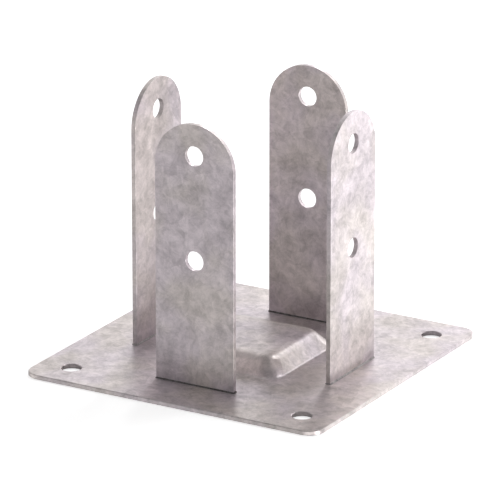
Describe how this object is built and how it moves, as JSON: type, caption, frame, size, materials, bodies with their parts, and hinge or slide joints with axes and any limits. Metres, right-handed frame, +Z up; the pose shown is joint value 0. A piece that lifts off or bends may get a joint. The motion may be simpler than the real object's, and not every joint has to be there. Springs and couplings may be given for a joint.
{
  "type": "timber post base",
  "caption": "Square flat steel plate with a raised central pad and upright round-topped straps that grip a square timber post, drilled for anchors and post bolts.",
  "frame": {"origin": "centre of the plate's underside, on the ground", "axes": "+Z up along the post, +X and +Y square to the plate's sides, each through the middle of a strap"},
  "size_m": [0.14, 0.14, 0.1145],
  "materials": {
    "galvanised_steel": "hot-dip galvanised, satin, cloudy mottle"
  },
  "bodies": {
    "root": {"base_plate": "galvanised_steel", "strap_front": "galvanised_steel", "strap_right": "galvanised_steel", "strap_back": "galvanised_steel", "strap_left": "galvanised_steel", "weld_front": "galvanised_steel", "weld_right": "galvanised_steel", "weld_back": "galvanised_steel", "weld_left": "galvanised_steel"}
  },
  "joints": []
}
